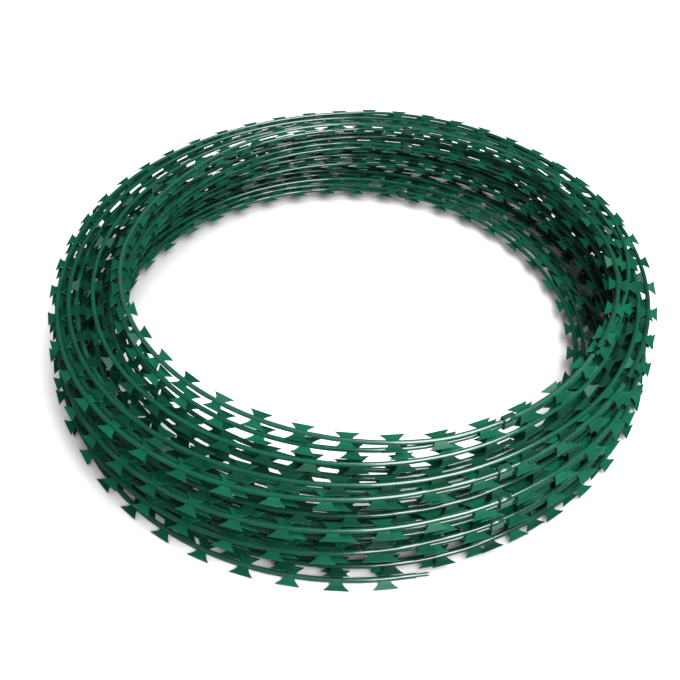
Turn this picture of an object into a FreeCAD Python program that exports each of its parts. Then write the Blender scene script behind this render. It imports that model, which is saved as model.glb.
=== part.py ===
"""Concertina razor wire coil, pressed flat for storage: one barbed tape on its core wire, and its clips.

The tape is a steel strip with butterfly barbs, rolled round a spring core wire. It climbs
clockwise from the floor. Its turns lie in pairs, and the pairs lie by turns in an outer and
in an inner ring. Clips hold the two turns of a pair one on the other. Between the clips the
upper turn has slid off, and the bundle leans towards +X and +Y.
Origin: middle of the bundle, on the floor that it lies on. +Z is up. All sizes are in
millimetres.
"""

import FreeCAD
import Part

import math
import os

import Sketcher
from FreeCAD import Placement, Rotation, Vector

# name, value, what it is
SIZES = [
    ("outer_radius", 262.0, "radius of a turn in the outer ring of the bundle"),
    ("inner_radius", 226.0, "radius of a turn in the inner ring"),
    ("turn_pairs", 8, "pairs of turns, from the floor up"),
    ("bundle_x", -1.9, "where the bundle's axis stands, along X"),
    ("bundle_y", 2.2, "where it stands along Y"),
    ("turn_start", -36.0, "degrees from +X where each turn starts"),
    ("climb_arc", 60.0, "degrees that a turn takes to climb to the next, at its end"),
    ("tape_start", 48.0, "degrees of the lowest turn that the tape leaves out"),
    ("slide_way", 65.0, "degrees from +X, the way that a pair's upper turn slides off the lower"),
    ("slide_hold", 0.3, "share of a slide which the clips hold back near them"),
    ("wire_width", 3.8, "width of the tape where it is rolled round its wire"),
    ("wire_height", 3.7, "height of the tape there"),
    ("turn_gap", 0.7, "gap between the two turns of a pair"),
    ("pair_gap", 2.9, "gap between one pair and the next, which the clips stand in"),
    ("barb_pitch", 34.0, "length of tape from one barb to the next"),
    ("barb_length", 18.5, "length of a barb between its points, along the tape"),
    ("barb_width", 15.5, "width of a barb between its points, across the tape"),
    ("barb_neck", 8.5, "length of a barb where it leaves the wire"),
    ("barb_stagger", 0.2, "pitches that a pair's upper barbs stand on from its lower ones"),
    ("core_radius", 1.25, "radius of the core wire"),
    ("core_tail", 29.0, "length of bare core wire at the tape's lower end"),
    ("clip_length", 10.0, "length of a clip along the tape"),
    ("clip_wall", 1.0, "thickness of a clip"),
    ("clip_play", 0.3, "gap between a clip and the tape inside it"),
    ("front_clips", -64.0, "degrees from +X where the clips at the front stand"),
    ("back_clips", 74.0, "degrees where those at the back stand"),
    ("left_clips", 168.0, "degrees where those at the left stand"),
]

# How each pair lies, from the floor up: over its ring's radius, towards +X and +Y of the
# bundle's axis, and how far its upper turn slides off its lower one between the clips
LAY = [
    (-3.0, 1.0, -16.0, 12.0),
    (-8.0, -12.0, -20.0, 6.0),
    (0.0, 1.0, -4.0, -8.0),
    (2.0, 4.0, -10.0, 8.0),
    (1.0, 2.0, 0.0, -6.0),
    (-4.0, 14.0, -5.0, 8.0),
    (0.0, 3.0, 9.0, -6.0),
    (-6.0, 14.0, 0.0, 9.0),
]

# node, the size that places its column, and the pairs that have a clip there
CLIP_COLUMNS = [
    ("clips_front", "front_clips", (1, 2, 4, 5, 6, 7)),
    ("clips_back", "back_clips", (1, 5, 7)),
    ("clips_left", "left_clips", (2, 4, 6)),
]

doc = FreeCAD.newDocument("razor_wire_coil")
sheet = doc.addObject("Spreadsheet::Sheet", "sizes")
for row, (name, value, meaning) in enumerate(SIZES, start=1):
    sheet.set(f"A{row}", meaning)
    sheet.set(f"B{row}", str(value))
    sheet.setAlias(f"B{row}", name)
for pair, lay in enumerate(LAY):
    for name, column, value in zip(("wider", "right", "back", "slide"), "DEFG", lay):
        sheet.set(f"{column}{pair + 1}", str(value))
        sheet.setAlias(f"{column}{pair + 1}", f"{name}_{pair}")
doc.recompute()


def size(name):
    return float(sheet.get(name))


TURNS = 2 * int(size("turn_pairs"))
HALF_WIDTH = size("wire_width") / 2
UP = Vector(0, 0, 1)


def lay(name, pair):
    return size(f"{name}_{pair % len(LAY)}")


def pair_radius(pair):
    """The pairs lie by turns in the outer and in the inner ring."""
    ring = size("inner_radius") if pair % 2 else size("outer_radius")
    return ring + lay("wider", pair)


def pair_centre(pair):
    return Vector(size("bundle_x") + lay("right", pair), size("bundle_y") + lay("back", pair), 0)


def turn_height(turn):
    """Height of a turn's underside."""
    pair, upper = divmod(turn, 2)
    rise = size("wire_height") + size("turn_gap")
    pair_rise = rise + size("wire_height") + size("pair_gap")
    return pair * pair_rise + upper * rise


def barbs_in(turn):
    return round(2 * math.pi * pair_radius(turn // 2) / size("barb_pitch"))


def share_at(angle):
    """The share of a turn that lies before an angle, which is in degrees from +X."""
    return (size("turn_start") - angle) % 360 / 360


CLIP_SHARES = sorted(share_at(size(place)) for name, place, pairs in CLIP_COLUMNS)


def slide(turn, share):
    """How a pair's upper turn has slid: not at all at the clips, and most midway between them."""
    pair, upper = divmod(turn, 2)
    if not upper:
        return Vector()
    freed = 1.0
    if any(pair in pairs for name, place, pairs in CLIP_COLUMNS):
        before = max([at for at in CLIP_SHARES if at <= share], default=CLIP_SHARES[-1] - 1)
        after = min([at for at in CLIP_SHARES if at > share], default=CLIP_SHARES[0] + 1)
        arch = math.sin(math.pi * (share - before) / (after - before))
        freed = max(0.0, arch - size("slide_hold")) / (1 - size("slide_hold"))
    way = math.radians(size("slide_way"))
    return Vector(math.cos(way), math.sin(way), 0) * lay("slide", pair) * freed


def climbed(share):
    """How much of the climb to the next turn is done at a share of a turn, eased at both ends."""
    climb = size("climb_arc") / 360
    done = max(0.0, (share - 1 + climb) / climb)
    return done * done * (3 - 2 * done)


class Station:
    """A cut across the tape: a flat underside, and the ridge over the wire."""

    def __init__(self, turn, share):
        after = climbed(share)
        centre, radius, height = Vector(), 0.0, 0.0
        for place, weight in ((turn, 1 - after), (turn + 1, after)):
            centre += (pair_centre(place // 2) + slide(place, share)) * weight
            radius += pair_radius(place // 2) * weight
            height += turn_height(place) * weight
        angle = math.radians(size("turn_start") - 360 * share)
        self.outward = Vector(math.cos(angle), math.sin(angle), 0)
        self.forward = Vector(math.sin(angle), -math.cos(angle), 0)
        self.middle = centre + self.outward * radius + UP * height
        self.outer = self.middle + self.outward * HALF_WIDTH
        self.inner = self.middle - self.outward * HALF_WIDTH
        self.ridge = self.middle + UP * size("wire_height")


def flat(*points):
    return Part.Face(Part.makePolygon([*points, points[0]]))


def quad(a, b, c, d):
    """One face where the four points lie in a plane, and two triangles where they don't."""
    off_plane = abs((b - a).cross(c - a).normalize().dot(d - a))
    if off_plane < 1e-7:
        return [flat(a, b, c, d)]
    return [flat(a, b, c), flat(a, c, d)]


def plain_stretch(a, b):
    """The rolled tape between two cuts: its underside and its two sloping sides."""
    return [
        *quad(a.inner, b.inner, b.outer, a.outer),
        *quad(a.outer, b.outer, b.ridge, a.ridge),
        *quad(b.inner, a.inner, a.ridge, b.ridge),
    ]


def barb_points(a, b, edge_a, edge_b):
    """The two points of the blade whose neck runs from edge_a to edge_b."""
    along = (edge_b - edge_a).normalize() * size("barb_length") / 2
    middle = (a.middle + b.middle) / 2
    across = ((edge_a + edge_b) / 2 - middle).normalize() * size("barb_width") / 2
    return middle + across - along, middle + across + along


def barb(a, b):
    """A pair of blades, one each side of the wire, that thin to their cutting edges."""
    faces = []
    undersides = []
    for edge_a, edge_b in ((a.outer, b.outer), (a.inner, b.inner)):
        point_a, point_b = barb_points(a, b, edge_a, edge_b)
        undersides.append([edge_a, point_a, point_b, edge_b])
        faces += quad(a.ridge, b.ridge, point_b, point_a)
        faces += [flat(a.ridge, edge_a, point_a), flat(b.ridge, point_b, edge_b)]
    if a.middle.z == b.middle.z:
        return [*faces, flat(*undersides[0], *reversed(undersides[1]))]
    faces += quad(a.inner, b.inner, b.outer, a.outer)
    for underside in undersides:
        faces += quad(*underside)
    return faces


def barb_stations(turn, number):
    """The cuts at the two ends of a barb's neck."""
    middle = (number + 0.5 + turn % 2 * size("barb_stagger")) / barbs_in(turn)
    half_neck = size("barb_neck") / size("barb_pitch") / barbs_in(turn) / 2
    return Station(turn, middle - half_neck), Station(turn, middle + half_neck)


def tape_stations():
    """The cuts along the tape. The last turn stops where it would start to climb."""
    stations = []
    for turn in range(TURNS):
        count = barbs_in(turn)
        left_out = round(size("tape_start") / 360 * count) if turn == 0 else 0
        climbing = math.ceil(size("climb_arc") / 360 * count) if turn == TURNS - 1 else 0
        for number in range(left_out, count - climbing):
            stations += barb_stations(turn, number)
    return stations


def make_tape(stations):
    """One solid from the tape's lower end to its upper one."""
    faces = []
    for index, (a, b) in enumerate(zip(stations, stations[1:])):
        faces += barb(a, b) if index % 2 == 0 else plain_stretch(a, b)
    for end in (stations[0], stations[-1]):
        faces.append(flat(end.inner, end.outer, end.ridge))
    shell = Part.Shell(faces)
    shell.sewShape()
    solid = Part.Solid(shell)
    if solid.Volume < 0:
        solid.reverse()
    tape = doc.addObject("Part::Feature", "razor_tape")
    tape.Shape = solid
    return tape


def make_core_end(start):
    """The bare core wire that leaves the lower end of the tape, square to its end face."""
    wire = doc.addObject("Part::Cylinder", "core_wire_end")
    wire.setExpression("Radius", "sizes.core_radius")
    wire.setExpression("Height", "sizes.core_tail")
    place = start.middle + UP * size("core_radius")
    wire.Placement = Placement(place, Rotation(UP, -start.forward))
    return wire


def add_rectangle(sketch, width, height, foot):
    """A rectangle about the sketch's vertical axis, its foot this far over the horizontal one."""
    corners = [Vector(-1, 1, 0), Vector(1, 1, 0), Vector(1, 2, 0), Vector(-1, 2, 0)]
    first = sketch.GeometryCount
    for here, there in zip(corners, corners[1:] + corners[:1]):
        sketch.addGeometry(Part.LineSegment(here, there))
    for side in range(4):
        after = first + (side + 1) % 4
        sketch.addConstraint(Sketcher.Constraint("Coincident", first + side, 2, after, 1))
    sketch.addConstraint(Sketcher.Constraint("Vertical", first + 1))
    sketch.addConstraint(Sketcher.Constraint("Horizontal", first + 2))
    sketch.addConstraint(Sketcher.Constraint("Vertical", first + 3))
    sketch.addConstraint(Sketcher.Constraint("Symmetric", first, 1, first, 2, -2))
    for kind, line, expression in (
        ("DistanceX", first, width),
        ("DistanceY", first + 1, height),
    ):
        number = sketch.addConstraint(Sketcher.Constraint(kind, line, 1, line, 2, 1.0))
        sketch.setExpression(f"Constraints[{number}]", expression)
    number = sketch.addConstraint(Sketcher.Constraint("DistanceY", -1, 1, first, 1, 0.5))
    sketch.setExpression(f"Constraints[{number}]", foot)


def make_clip():
    """A strip bent round both turns of a pair: a sleeve along Y that stands on the XY plane."""
    body = doc.addObject("PartDesign::Body", "clip")
    section = body.newObject("Sketcher::SketchObject", "clip_section")
    planes = {plane.Role: plane for plane in body.Origin.OriginFeatures}
    section.AttachmentSupport = [(planes["XZ_Plane"], "")]
    section.MapMode = "FlatFace"
    width = "sizes.wire_width + 2 * sizes.clip_play"
    height = "2 * sizes.wire_height + sizes.turn_gap + 2 * sizes.clip_play"
    add_rectangle(section, f"{width} + 2 * sizes.clip_wall", f"{height} + 2 * sizes.clip_wall", "0")
    add_rectangle(section, width, height, "sizes.clip_wall")
    sleeve = body.newObject("PartDesign::Pad", "clip_sleeve")
    sleeve.Profile = section
    sleeve.Midplane = True
    sleeve.setExpression("Length", "sizes.clip_length")
    body.Tip = sleeve
    doc.recompute()
    return body


def clip_place(pair, angle):
    """Where a pair's clip stands: nearest to the angle, and midway between barbs of both turns."""
    lower = 2 * pair
    number = round(share_at(angle) * barbs_in(lower) - size("barb_stagger") / 2)
    foot, forward = Vector(), Vector()
    for turn in (lower, lower + 1):
        before = barb_stations(turn, number - 1)[1]
        after = barb_stations(turn, number)[0]
        foot += (before.middle + after.middle) / 4
        forward += after.middle - before.middle
    foot.z = turn_height(lower) - size("clip_play") - size("clip_wall")
    return Placement(foot, Rotation(Vector(0, 1, 0), forward))


def make_clip_column(name, angle, pairs, clip):
    """The clips that stand near one another on several pairs, as solids that don't touch."""
    column = doc.addObject("Part::Feature", name)
    clips = []
    for pair in pairs:
        placed = clip.Shape.copy()
        placed.Placement = clip_place(pair, angle)
        clips.append(placed)
    column.Shape = Part.makeCompound(clips)
    return column


stations = tape_stations()
parts = [make_tape(stations), make_core_end(stations[0])]
clip = make_clip()
for name, place, pairs in CLIP_COLUMNS:
    parts.append(make_clip_column(name, size(place), pairs, clip))
doc.recompute()

for item in doc.Objects:
    if "Invalid" in item.State or "Error" in item.State:
        raise RuntimeError(item.Label + " did not recompute")
os.makedirs("parts", exist_ok=True)
for part in parts:
    if part.Shape.isNull() or not part.Shape.isValid():
        raise RuntimeError(part.Label + " has no sound shape")
    part.Shape.exportStep(f"parts/{part.Label}.step")
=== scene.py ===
import math
import random

import bpy
from mathutils import Matrix, Vector


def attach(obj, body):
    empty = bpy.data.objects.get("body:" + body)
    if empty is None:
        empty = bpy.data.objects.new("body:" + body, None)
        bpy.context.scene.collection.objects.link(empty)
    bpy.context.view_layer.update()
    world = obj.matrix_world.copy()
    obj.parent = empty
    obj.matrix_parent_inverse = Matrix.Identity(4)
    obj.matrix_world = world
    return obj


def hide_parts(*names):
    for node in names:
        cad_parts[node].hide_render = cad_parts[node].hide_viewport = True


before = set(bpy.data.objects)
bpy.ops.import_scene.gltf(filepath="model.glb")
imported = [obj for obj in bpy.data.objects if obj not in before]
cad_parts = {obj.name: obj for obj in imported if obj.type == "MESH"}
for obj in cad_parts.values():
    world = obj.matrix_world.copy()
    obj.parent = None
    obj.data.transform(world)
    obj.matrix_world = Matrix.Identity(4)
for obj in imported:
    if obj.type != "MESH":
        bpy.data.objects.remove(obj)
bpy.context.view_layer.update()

MM = 0.001

# The coil's driving sizes, as the CAD has them, in millimetres and degrees
OUTER_RADIUS = 262.0
INNER_RADIUS = 226.0
PAIRS = 8
BUNDLE = Vector((-1.9, 2.2, 0.0))
# Each pair's lay: wider than its ring, to the right, to the back, and its upper turn's slide
LAY = (
    (-3.0, 1.0, -16.0, 12.0),
    (-8.0, -12.0, -20.0, 6.0),
    (0.0, 1.0, -4.0, -8.0),
    (2.0, 4.0, -10.0, 8.0),
    (1.0, 2.0, 0.0, -6.0),
    (-4.0, 14.0, -5.0, 8.0),
    (0.0, 3.0, 9.0, -6.0),
    (-6.0, 14.0, 0.0, 9.0),
)
TURN_START = -36.0
CLIMB_ARC = 60.0
TAPE_START = 48.0
TURN_RISE = 4.4
SLIDE_WAY = 65.0
SLIDE_HOLD = 0.3
PAIR_RISE = 11.0
BARB_PITCH = 34.0
BARB_STAGGER = 0.2
CORE_RADIUS = 1.25
CLIP_COLUMNS = {
    "clips_front": (-64.0, (1, 2, 4, 5, 6, 7)),
    "clips_back": (74.0, (1, 5, 7)),
    "clips_left": (168.0, (2, 4, 6)),
}

# The tape's finer sizes, in millimetres
TUBE_WIDTH = 3.7
TUBE_HEIGHT = 3.5
SHEET = 0.5
TURNS = 2 * PAIRS
CLIP_LENGTH = 10.0
CLIP_WIDTH = 5.9
CLIP_HEIGHT = 10.5
CLIP_WALL = 0.8
CLIP_DROP = 1.2
LAP_SECTION = ((0.0, 2.2), (0.45, 2.4), (0.45, 6.8), (0.0, 7.6))
CHORD_SAG = 0.25
TUBE_SIDES = 12
# Each hidden turn's lay, two to a gap between pairs: its share of the way from the inner pair to
# the outer one, how far that share sways round the coil, and the degrees where it is most
HIDDEN_LAY = (
    ((0.43, 0.03, 7), (0.87, 0.02, 138)),
    ((0.14, 0.03, 60), (0.57, 0.20, 214)),
    ((0.32, 0.04, 348), (0.82, 0.07, 31)),
    ((0.18, 0.07, 346), (0.78, 0.03, 142)),
    ((0.18, 0.06, 138), (0.69, 0.17, 222)),
    ((0.19, 0.05, 358), (0.77, 0.10, 88)),
    ((0.34, 0.12, 160), (0.74, 0.14, 241)),
)
HIDDEN_CLEAR = 6.5
TILT_SPREAD = 0.05
TWIST_SPREAD = 0.02
HIDDEN_TILT_SPREAD = 0.03
HIDDEN_BASE = 7.7
HIDDEN_BARBS = 45
DUCK = 4.6
DUCK_EASE = 20.0
STUB = 14.0
TIP = 24.0
ROD_SIDES = 20
TUBE_STEPS = 4


def pair_radius(pair):
    return (INNER_RADIUS if pair % 2 else OUTER_RADIUS) + LAY[pair][0]


def pair_centre(pair):
    return BUNDLE + Vector((LAY[pair][1], LAY[pair][2], 0))


def turn_height(turn):
    return turn // 2 * PAIR_RISE + turn % 2 * TURN_RISE


def barbs_in(turn):
    return round(2 * math.pi * pair_radius(turn // 2) / BARB_PITCH)


CLIP_SHARES = sorted((TURN_START - angle) % 360 / 360 for angle, pairs in CLIP_COLUMNS.values())


def slide(turn, share):
    """How a pair's upper turn has slid off the lower: not at the clips, most between them."""
    pair, upper = divmod(turn, 2)
    if not upper:
        return Vector()
    freed = 1.0
    if any(pair in pairs for angle, pairs in CLIP_COLUMNS.values()):
        before = max([at for at in CLIP_SHARES if at <= share], default=CLIP_SHARES[-1] - 1)
        after = min([at for at in CLIP_SHARES if at > share], default=CLIP_SHARES[0] + 1)
        arch = math.sin(math.pi * (share - before) / (after - before))
        freed = max(0.0, arch - SLIDE_HOLD) / (1 - SLIDE_HOLD)
    way = math.radians(SLIDE_WAY)
    return Vector((math.cos(way), math.sin(way), 0)) * LAY[pair][3] * freed


def station(turn, share):
    """Frame of the tape at a share of a turn: place, forward, outward and up, in millimetres."""
    done = max(0.0, (share - 1 + CLIMB_ARC / 360) / (CLIMB_ARC / 360))
    climbed = done * done * (3 - 2 * done)
    here, after = turn // 2, (turn + 1) // 2
    radius = pair_radius(here) * (1 - climbed)
    centre = (pair_centre(here) + slide(turn, share)) * (1 - climbed)
    if climbed:
        radius += pair_radius(after) * climbed
        centre += (pair_centre(after) + slide(turn + 1, share)) * climbed
    height = turn_height(turn) * (1 - climbed) + turn_height(turn + 1) * climbed
    angle = math.radians(TURN_START - 360 * share)
    outward = Vector((math.cos(angle), math.sin(angle), 0))
    forward = Vector((math.sin(angle), -math.cos(angle), 0))
    return centre + outward * radius + Vector((0, 0, height)), forward, outward


class Mesh:
    """Collects vertices and faces, with a material index for each face."""

    def __init__(self):
        self.points = []
        self.faces = []
        self.kinds = []
        self.tones = []

    def add(self, points, faces, kind=0, tone=0.5):
        base = len(self.points)
        self.points += points
        for face in faces:
            self.faces.append([base + index for index in face])
            self.kinds.append(kind)
            self.tones.append(tone)

    def make(self, name, materials, smooth_kinds=(0,)):
        mesh = bpy.data.meshes.new(name)
        mesh.from_pydata([point * MM for point in self.points], [], self.faces)
        for material in materials:
            mesh.materials.append(material)
        mesh.polygons.foreach_set("material_index", self.kinds)
        mesh.polygons.foreach_set("use_smooth", [kind in smooth_kinds for kind in self.kinds])
        tone = mesh.attributes.new("tone", "FLOAT", "FACE")
        tone.data.foreach_set("value", self.tones)
        mesh.update()
        made = bpy.data.objects.new(name, mesh)
        bpy.context.scene.collection.objects.link(made)
        return made


def tube_ring(place, outward, along_share):
    """One ring of the rolled tape: fuller midway between barbs."""
    swell = 1 + 0.05 * math.cos(2 * math.pi * along_share)
    ring = []
    for side in range(TUBE_SIDES):
        around = 2 * math.pi * (side + 0.5) / TUBE_SIDES
        across = TUBE_WIDTH / 2 * math.cos(around) * swell
        up = TUBE_HEIGHT / 2 * (1 + math.sin(around))
        ring.append(place + outward * across + Vector((0, 0, up)))
    return ring


def tube_faces(rings, sides, flipped=False, closed=False):
    """The quads between each ring of points and the next."""
    faces = []
    for ring in range(rings if closed else rings - 1):
        here, after = ring * sides, (ring + 1) % rings * sides
        for side in range(sides):
            beside = (side + 1) % sides
            if flipped:
                faces.append((here + side, here + beside, after + beside, after + side))
            else:
                faces.append((here + side, after + side, after + beside, here + beside))
    return faces


# Half of a blade's outline: how far from the wire's middle, and how far along from the blade's
BLADE_HALF = ((1.3, 3.9), (2.3, 4.15), (3.8, 5.1), (5.6, 6.9), (7.45, 9.15))
EDGE_DIP = 7.5
SHEET_LEVEL = 0.9
SHOULDER = 0.55


def blade(mesh, place, forward, outward, tilt, twist, tone):
    """One blade of 0.5 mm sheet: a flared plate whose points are sharp."""
    other_half = [(v, -u) for v, u in reversed(BLADE_HALF)]
    outline = [*BLADE_HALF, (EDGE_DIP, 0.0), *other_half]
    top, bottom = [], []
    for v, u in outline:
        rise = SHOULDER * max(0.0, 1 - (v - 1.3) / 2.2)
        lift = SHEET_LEVEL + rise + (v - 1.9) * math.tan(tilt) + u * math.tan(twist)
        point = place + forward * u + outward * v + Vector((0, 0, max(0.03, lift)))
        bottom.append(point)
        top.append(point + Vector((0, 0, SHEET)))
    count = len(outline)
    flip = outward.cross(forward).z > 0
    strips = [(i, i + 1, count - 2 - i, count - 1 - i) for i in range(len(BLADE_HALF) - 1)]
    last = len(BLADE_HALF) - 1
    plates = strips + [(last, last + 1, last + 2)]
    upper = [face if flip else face[::-1] for face in plates]
    lower = [tuple(count + i for i in (face[::-1] if flip else face)) for face in plates]
    sides = []
    for i in range(count - 1):
        side = (i, i + 1, count + i + 1, count + i)
        sides.append(side[::-1] if flip else side)
    mesh.add(top + bottom, upper + lower, 1, tone)
    # the blade's cut sides take the paler edge green, partly a painted highlight
    mesh.add(top + bottom, sides, 2, tone)


def tape_turns(name, turns, rng, materials):
    mesh = Mesh()
    for turn in turns:
        count = barbs_in(turn)
        left_out = round(TAPE_START / 360 * count) if turn == 0 else 0
        kept = count - (math.ceil(CLIMB_ARC / 360 * count) if turn == TURNS - 1 else 0)
        stagger = turn % 2 * BARB_STAGGER
        ring_count = count * TUBE_STEPS
        rings = []
        for step in range(ring_count + 1):
            share = step / ring_count
            if left_out + 0.25 <= step / TUBE_STEPS <= kept - (0 if kept == count else 0.25):
                place, forward, outward = station(turn, min(share, 0.999999))
                rings += tube_ring(place, outward, share * count - stagger)
        faces = tube_faces(len(rings) // TUBE_SIDES, TUBE_SIDES)
        mesh.add(rings, faces, 0, rng.random())
        if kept < count:
            mesh.add(rings[-TUBE_SIDES:], [tuple(range(TUBE_SIDES))], 2, 0.5)
        for number in range(left_out, kept):
            middle = (number + 0.5 + stagger) / count
            place, forward, outward = station(turn, middle)
            for side in (1, -1):
                tilt = rng.gauss(0, TILT_SPREAD)
                twist = rng.gauss(0, TWIST_SPREAD)
                blade(mesh, place, forward, outward * side, tilt, twist, rng.random())
    return mesh.make(name, materials)


def rounded_section(half_width, height, corner, steps):
    """Points round an upright rounded rectangle that stands on zero, from its lower right corner."""
    points = []
    centres = ((1, 0, -90), (1, 1, 0), (-1, 1, 90), (-1, 0, 180))
    for x_sign, top, start in centres:
        for step in range(steps + 1):
            around = math.radians(start + 90 * step / steps)
            x = x_sign * (half_width - corner) + corner * math.cos(around)
            z = (height - corner if top else corner) + corner * math.sin(around)
            points.append((x, z))
    return points


def clip_solid(mesh, pair, angle, rng):
    """A strip bent round both turns of a pair, its ends lapped on the outer side."""
    count = barbs_in(2 * pair)
    number = round((TURN_START - angle) % 360 / 360 * count - BARB_STAGGER / 2)
    place, forward, outward = station(2 * pair, (number + BARB_STAGGER / 2) / count)
    lean = rng.gauss(0, 0.03)
    outer = rounded_section(CLIP_WIDTH / 2, CLIP_HEIGHT, 1.5, 5)
    inner = rounded_section(CLIP_WIDTH / 2 - CLIP_WALL, CLIP_HEIGHT - 2 * CLIP_WALL, 0.7, 5)
    foot = place + Vector((0, 0, -CLIP_DROP)) - outward * CHORD_SAG
    half = CLIP_LENGTH / 2
    rims = ((-half, 0.25), (-half + 0.3, 0.0), (half - 0.3, 0.0), (half, 0.25))
    points, faces = [], []
    size = len(outer)
    for along, drawn_in in rims:
        for (x, z), (xi, zi) in zip(outer, inner):
            shrink = drawn_in / CLIP_WALL
            x, z = x + (xi - x) * shrink, z + (zi + CLIP_WALL - z) * shrink
            leant = forward * (along + lean * z)
            points.append(foot + leant + outward * x + Vector((0, 0, z)))
    for along, drawn_in in (rims[0], rims[3]):
        for xi, zi in inner:
            leant = forward * (along + lean * zi)
            points.append(foot + leant + outward * xi + Vector((0, 0, zi + CLIP_WALL)))
    for ring in range(3):
        for i in range(size):
            j = (i + 1) % size
            here, after = ring * size, (ring + 1) * size
            faces.append((here + i, after + i, after + j, here + j))
    near, far = 4 * size, 5 * size
    for i in range(size):
        j = (i + 1) % size
        faces.append((near + i, i, j, near + j))
        faces.append((3 * size + i, far + i, far + j, 3 * size + j))
        faces.append((far + i, near + i, near + j, far + j))
    mesh.add(points, faces, 0, rng.random())
    # the strip's lapped end, which lies on the sleeve's outer side, in the paler edge green that is
    # partly a painted glint
    lap = []
    for along in (-half, half):
        for x, z in LAP_SECTION:
            out = outward * (CLIP_WIDTH / 2 - 0.02 + x)
            lap.append(foot + forward * along * 0.94 + out + Vector((0, 0, z)))
    lap_faces = [(0, 1, 5, 4), (1, 2, 6, 5), (2, 3, 7, 6), (3, 2, 1, 0), (4, 5, 6, 7), (0, 4, 7, 3)]
    mesh.add(lap, lap_faces, 1, rng.random())


def clip_column(name, rng, materials):
    angle, pairs = CLIP_COLUMNS[name]
    mesh = Mesh()
    for pair in pairs:
        clip_solid(mesh, pair, angle, rng)
    return mesh.make(name.replace("clips", "clip_sleeves"), materials)


def reach(pair, outward):
    """How far a pair's ring is from the bundle's axis, this way."""
    centre = pair_centre(pair) - BUNDLE
    along = centre.dot(outward)
    return along + math.sqrt(pair_radius(pair) ** 2 - (centre.length_squared - along * along))


def hidden_place(gap, lay, angle):
    """A turn between two pairs, which ducks under the tape where it climbs."""
    outward = Vector((math.cos(angle), math.sin(angle), 0))
    forward = Vector((math.sin(angle), -math.cos(angle), 0))
    inner, outer = sorted((reach(gap, outward), reach(gap + 1, outward)))
    off_climb = abs((math.degrees(angle) - TURN_START - CLIMB_ARC / 2 + 180) % 360 - 180) - CLIMB_ARC / 2
    ducked = min(1.0, max(0.0, 1 - off_climb / DUCK_EASE))
    rise = gap * PAIR_RISE + HIDDEN_BASE - DUCK * ducked * ducked * (3 - 2 * ducked)
    share_out = lay[0] + lay[1] * math.cos(angle - math.radians(lay[2]))
    out = inner + share_out * (outer - inner)
    out = min(max(out, inner + HIDDEN_CLEAR), outer - HIDDEN_CLEAR)
    place = BUNDLE + outward * out + Vector((0, 0, rise))
    return place, forward, outward


def hidden_turns(name, rng, materials):
    """The turns inside the bundle, two between each pair and the next."""
    mesh = Mesh()
    for gap in range(PAIRS - 1):
        for lay in HIDDEN_LAY[gap]:
            count = HIDDEN_BARBS + rng.randint(-1, 1)
            total = count * TUBE_STEPS
            rings = []
            for step in range(total):
                place, forward, outward = hidden_place(gap, lay, 2 * math.pi * step / total)
                rings += tube_ring(place, outward, step / TUBE_STEPS)
            faces = tube_faces(total, TUBE_SIDES, flipped=True, closed=True)
            mesh.add(rings, faces, 0, rng.random())
            phase = rng.random()
            for number in range(count):
                angle = 2 * math.pi * (number + phase) / count
                place, forward, outward = hidden_place(gap, lay, angle)
                for side in (1, -1):
                    tilt = rng.gauss(0, HIDDEN_TILT_SPREAD)
                    blade(mesh, place, forward, outward * side, tilt, 0.0, rng.random())
    return mesh.make(name, materials)


def wire_tip(name, materials):
    """The tape's lower end: a last stretch of rolled strip, and the core wire cut off beyond it."""
    count = barbs_in(0)
    number = round(TAPE_START / 360 * count)
    place, forward, outward = station(0, (number + 0.25) / count)
    mesh = Mesh()
    rings = []
    for along in (0.0, 5.0, 10.0, STUB):
        rings += tube_ring(place - forward * along, outward, 0.5)
    mesh.add(rings, tube_faces(4, TUBE_SIDES, flipped=True), 0, 0.6)
    # the strip's cut end, open to the core wire
    middle = place + Vector((0, 0, TUBE_HEIGHT / 2))
    stub_end = rings[-TUBE_SIDES:]
    bore = []
    for side in range(TUBE_SIDES):
        around = 2 * math.pi * (side + 0.5) / TUBE_SIDES
        across, up = CORE_RADIUS * math.cos(around), CORE_RADIUS * math.sin(around)
        bore.append(middle - forward * STUB + outward * across + Vector((0, 0, up)))
    mesh.add(stub_end + bore, tube_faces(2, TUBE_SIDES, flipped=True), 1, 0.5)
    # the core wire: how far along, how much of its width, and how far the cut slants
    profile = (
        (STUB - 1.0, 1.0, 0.0),
        (TIP - 1.6, 1.0, 0.0),
        (TIP - 1.0, 0.985, 0.0),
        (TIP - 0.25, 0.95, 0.1),
        (TIP, 0.78, 0.18),
    )
    rod = []
    for along, wide, shear in profile:
        for side in range(ROD_SIDES):
            around = 2 * math.pi * side / ROD_SIDES
            across, up = CORE_RADIUS * wide * math.cos(around), CORE_RADIUS * wide * math.sin(around)
            rod.append(middle - forward * (along + shear * up) + outward * across + Vector((0, 0, up)))
    for ring in range(len(profile) - 1):
        band = rod[ring * ROD_SIDES:(ring + 2) * ROD_SIDES]
        mesh.add(band, tube_faces(2, ROD_SIDES, flipped=True), 0 if ring < 2 else 2, 0.7)
    mesh.add(rod[-ROD_SIDES:], [tuple(range(ROD_SIDES))], 2, 0.5)
    return mesh.make(name, materials)


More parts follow.
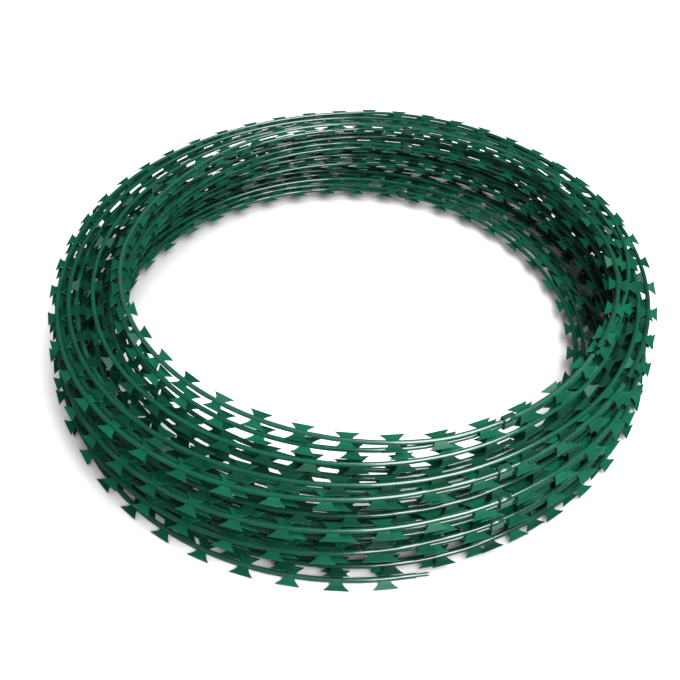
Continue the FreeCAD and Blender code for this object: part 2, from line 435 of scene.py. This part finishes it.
def coating(name, deep, pale, roughness, coat, specular):
    """Green polymer coating: tone changes from blade to blade, fine orange peel, rougher patches, and a
    grey painted reflection on the palest-toned faces.
    """
    material = bpy.data.materials.new(name)
    material.use_nodes = True
    nodes, links = material.node_tree.nodes, material.node_tree.links
    shader = nodes["Principled BSDF"]
    place = nodes.new("ShaderNodeTexCoord")
    tone = nodes.new("ShaderNodeAttribute")
    tone.attribute_name = "tone"
    patches = nodes.new("ShaderNodeTexNoise")
    patches.inputs["Scale"].default_value = 60.0
    patches.inputs["Detail"].default_value = 5.0
    links.new(place.outputs["Object"], patches.inputs["Vector"])
    blend = nodes.new("ShaderNodeMath")
    blend.operation = "MULTIPLY_ADD"
    links.new(patches.outputs["Fac"], blend.inputs[0])
    blend.inputs[1].default_value = 0.6
    tone_scaled = nodes.new("ShaderNodeMath")
    tone_scaled.operation = "MULTIPLY"
    tone_scaled.inputs[1].default_value = 0.5
    links.new(tone.outputs["Fac"], tone_scaled.inputs[0])
    links.new(tone_scaled.outputs[0], blend.inputs[2])
    colour = nodes.new("ShaderNodeMix")
    colour.data_type = "RGBA"
    colour.inputs["A"].default_value = (*deep, 1)
    colour.inputs["B"].default_value = (*pale, 1)
    links.new(blend.outputs[0], colour.inputs["Factor"])
    # painted reflection: the faces of highest tone are mixed towards a pale grey green, standing for the
    # greyish reflections seen on some blades
    painted_reflection_mask = nodes.new("ShaderNodeMapRange")
    painted_reflection_mask.inputs["From Min"].default_value = 0.93
    painted_reflection_mask.inputs["From Max"].default_value = 1.0
    painted_reflection_mask.inputs["To Max"].default_value = 0.5
    links.new(tone.outputs["Fac"], painted_reflection_mask.inputs["Value"])
    reflection_mixed = nodes.new("ShaderNodeMix")
    reflection_mixed.data_type = "RGBA"
    reflection_mixed.inputs["B"].default_value = (0.10, 0.20, 0.15, 1)
    links.new(painted_reflection_mask.outputs["Result"], reflection_mixed.inputs["Factor"])
    links.new(colour.outputs["Result"], reflection_mixed.inputs["A"])
    links.new(reflection_mixed.outputs["Result"], shader.inputs["Base Color"])
    rough = nodes.new("ShaderNodeMapRange")
    rough.inputs["From Min"].default_value = 0.3
    rough.inputs["From Max"].default_value = 0.7
    rough.inputs["To Min"].default_value = roughness * 0.7
    rough.inputs["To Max"].default_value = roughness * 1.4
    scuffs = nodes.new("ShaderNodeTexNoise")
    scuffs.inputs["Scale"].default_value = 260.0
    scuffs.inputs["Detail"].default_value = 4.0
    links.new(place.outputs["Object"], scuffs.inputs["Vector"])
    links.new(scuffs.outputs["Fac"], rough.inputs["Value"])
    links.new(rough.outputs["Result"], shader.inputs["Roughness"])
    bump = nodes.new("ShaderNodeBump")
    bump.inputs["Strength"].default_value = 0.12
    bump.inputs["Distance"].default_value = 0.0003
    peel = nodes.new("ShaderNodeTexNoise")
    peel.inputs["Scale"].default_value = 700.0
    links.new(place.outputs["Object"], peel.inputs["Vector"])
    links.new(peel.outputs["Fac"], bump.inputs["Height"])
    links.new(bump.outputs["Normal"], shader.inputs["Normal"])
    shader.inputs["Coat Weight"].default_value = coat
    shader.inputs["Specular IOR Level"].default_value = specular
    shader.inputs["Coat Roughness"].default_value = 0.12
    shader.inputs["Coat IOR"].default_value = 2.1
    return material


def steel(name):
    material = bpy.data.materials.new(name)
    material.use_nodes = True
    nodes, links = material.node_tree.nodes, material.node_tree.links
    shader = nodes["Principled BSDF"]
    shader.inputs["Metallic"].default_value = 1.0
    place = nodes.new("ShaderNodeTexCoord")
    noise = nodes.new("ShaderNodeTexNoise")
    noise.inputs["Scale"].default_value = 500.0
    links.new(place.outputs["Object"], noise.inputs["Vector"])
    ramp = nodes.new("ShaderNodeMix")
    ramp.data_type = "RGBA"
    ramp.inputs["A"].default_value = (0.32, 0.33, 0.33, 1)
    ramp.inputs["B"].default_value = (0.6, 0.62, 0.6, 1)
    links.new(noise.outputs["Fac"], ramp.inputs["Factor"])
    links.new(ramp.outputs["Result"], shader.inputs["Base Color"])
    rough = nodes.new("ShaderNodeMapRange")
    rough.inputs["To Min"].default_value = 0.25
    rough.inputs["To Max"].default_value = 0.5
    links.new(noise.outputs["Fac"], rough.inputs["Value"])
    links.new(rough.outputs["Result"], shader.inputs["Roughness"])
    return material


# name, darkest and palest colour, roughness, weight of the clear coat, specular level
wire_green = coating("wire_green", (0.003, 0.045, 0.025), (0.006, 0.125, 0.070), 0.25, 0.6, 0.3)
blade_green = coating("blade_green", (0.002, 0.040, 0.020), (0.006, 0.150, 0.080), 0.45, 0.0, 0.12)
# painted shade: the hidden turns' blades get a darker green than the outer ones, for the shade inside
# the bundle
inner_green_painted_shade = coating("inner_green_painted_shade", (0.001, 0.018, 0.009), (0.003, 0.075, 0.038), 0.45, 0.0, 0.12)
# paler green on cut edges, sheet ends, the clips' lapped ends and the tip's bore: partly a thinner
# coating at cut edges, partly a painted highlight along the edges
edge_green_and_highlight = coating("edge_green_and_highlight", (0.02, 0.12, 0.07), (0.12, 0.34, 0.24), 0.3, 0.3, 0.5)
clip_green = coating("clip_green", (0.004, 0.045, 0.026), (0.014, 0.11, 0.065), 0.3, 0.6, 0.5)
cut_steel = steel("cut_steel")

rng = random.Random(22)
tape = tape_turns("tape_turns", range(TURNS), rng, [wire_green, blade_green, edge_green_and_highlight])
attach(tape, "root")
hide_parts("razor_tape")

# the hidden turns' blades carry the darker green of painted shade
inner = hidden_turns("hidden_turns", rng, [wire_green, inner_green_painted_shade, edge_green_and_highlight])
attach(inner, "root")

for name in CLIP_COLUMNS:
    column = clip_column(name, rng, [clip_green, edge_green_and_highlight])
    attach(column, "root")
    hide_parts(name)

tip = wire_tip("wire_tip", [wire_green, edge_green_and_highlight, cut_steel])
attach(tip, "root")
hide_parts("core_wire_end")

# Floor and light
floor_mesh = bpy.data.meshes.new("floor")
FLOOR_HALF = 4.0
corners = [(x * FLOOR_HALF, y * FLOOR_HALF, 0) for x, y in ((-1, -1), (1, -1), (1, 1), (-1, 1))]
floor_mesh.from_pydata(corners, [], [(0, 1, 2, 3)])
floor = bpy.data.objects.new("floor", floor_mesh)
floor.location.z = -0.0004
bpy.context.scene.collection.objects.link(floor)
paper = bpy.data.materials.new("paper")
paper.use_nodes = True
paper_nodes, paper_links = paper.node_tree.nodes, paper.node_tree.links
matt = paper_nodes["Principled BSDF"]
matt.inputs["Roughness"].default_value = 0.9
matt.inputs["Specular IOR Level"].default_value = 0.0
seen = paper_nodes.new("ShaderNodeLightPath")
tint = paper_nodes.new("ShaderNodeMix")
tint.data_type = "RGBA"
tint.inputs["A"].default_value = (0.16, 0.16, 0.16, 1)
tint.inputs["B"].default_value = (0.85, 0.85, 0.85, 1)
paper_links.new(seen.outputs["Is Camera Ray"], tint.inputs["Factor"])
paper_links.new(tint.outputs["Result"], matt.inputs["Base Color"])
matt.inputs["Emission Color"].default_value = (1, 1, 1, 1)
# the floor glows a little to the camera where it is open to the room, and not under the coil: an
# occlusion-masked glow that paints shade under the coil
open_floor = paper_nodes.new("ShaderNodeAmbientOcclusion")
open_floor.samples = 8
open_floor.inputs["Distance"].default_value = 0.09
openness = paper_nodes.new("ShaderNodeMapRange")
openness.inputs["From Min"].default_value = 0.35
openness.inputs["From Max"].default_value = 0.95
openness.inputs["To Max"].default_value = 0.7
paper_links.new(open_floor.outputs["AO"], openness.inputs["Value"])
glow = paper_nodes.new("ShaderNodeMath")
glow.operation = "MULTIPLY"
paper_links.new(seen.outputs["Is Camera Ray"], glow.inputs[0])
paper_links.new(openness.outputs["Result"], glow.inputs[1])
paper_links.new(glow.outputs[0], matt.inputs["Emission Strength"])
floor_mesh.materials.append(paper)

world = bpy.data.worlds.new("studio")
world.use_nodes = True
sky, sky_links = world.node_tree.nodes, world.node_tree.links
shown = sky.new("ShaderNodeLightPath")
level = sky.new("ShaderNodeMapRange")
level.inputs["To Min"].default_value = 0.07
level.inputs["To Max"].default_value = 1.0
sky_links.new(shown.outputs["Is Camera Ray"], level.inputs["Value"])
sky_links.new(level.outputs["Result"], sky["Background"].inputs["Strength"])
sky["Background"].inputs["Color"].default_value = (1, 1, 1, 1)
bpy.context.scene.world = world


def strip_light(name, place, along, size, power):
    """A long soft light that faces the coil, its length turned along a direction."""
    light = bpy.data.lights.new(name, "AREA")
    light.shape = "RECTANGLE"
    light.size, light.size_y = size
    light.energy = power
    back_axis = Vector(place).normalized()
    long_axis = (Vector(along) - back_axis * back_axis.dot(Vector(along))).normalized()
    made = bpy.data.objects.new(name, light)
    axes = Matrix((long_axis, back_axis.cross(long_axis), back_axis)).transposed()
    made.matrix_world = Matrix.Translation(place) @ axes.to_4x4()
    bpy.context.scene.collection.objects.link(made)


def sun(name, way, strength, spread_deg):
    light = bpy.data.lights.new(name, "SUN")
    light.energy = strength
    light.angle = math.radians(spread_deg)
    made = bpy.data.objects.new(name, light)
    made.rotation_euler = Vector(way).to_track_quat("Z", "Y").to_euler()
    bpy.context.scene.collection.objects.link(made)


strip_light("key", (0.42, -0.62, 0.98), (-0.24, 0.97, 0.0), (1.2, 0.7), 22)
sun("fill", (0.20, 0.20, 1.0), 0.8, 30)

# Camera
TARGET = (Vector((4.4, -0.4, 35.0)) + BUNDLE) * MM
DISTANCE = 0.724
ELEVATION = math.radians(41.5)
VIEW_ANGLE = math.radians(48.0)
PHOTO_SIDE = 680
SHIFT = (16, -52)
camera_data = bpy.data.cameras.new("camera")
camera_data.angle = VIEW_ANGLE
camera_data.shift_x = -SHIFT[0] / PHOTO_SIDE
camera_data.shift_y = SHIFT[1] / PHOTO_SIDE
camera_data.clip_start = 0.01
camera = bpy.data.objects.new("camera", camera_data)
back = Vector((0, -math.cos(ELEVATION), math.sin(ELEVATION)))
camera.location = TARGET + back * DISTANCE
camera.rotation_euler = (-back).to_track_quat("-Z", "Y").to_euler()
bpy.context.scene.collection.objects.link(camera)
bpy.context.scene.camera = camera
bpy.context.scene.view_settings.view_transform = "Standard"
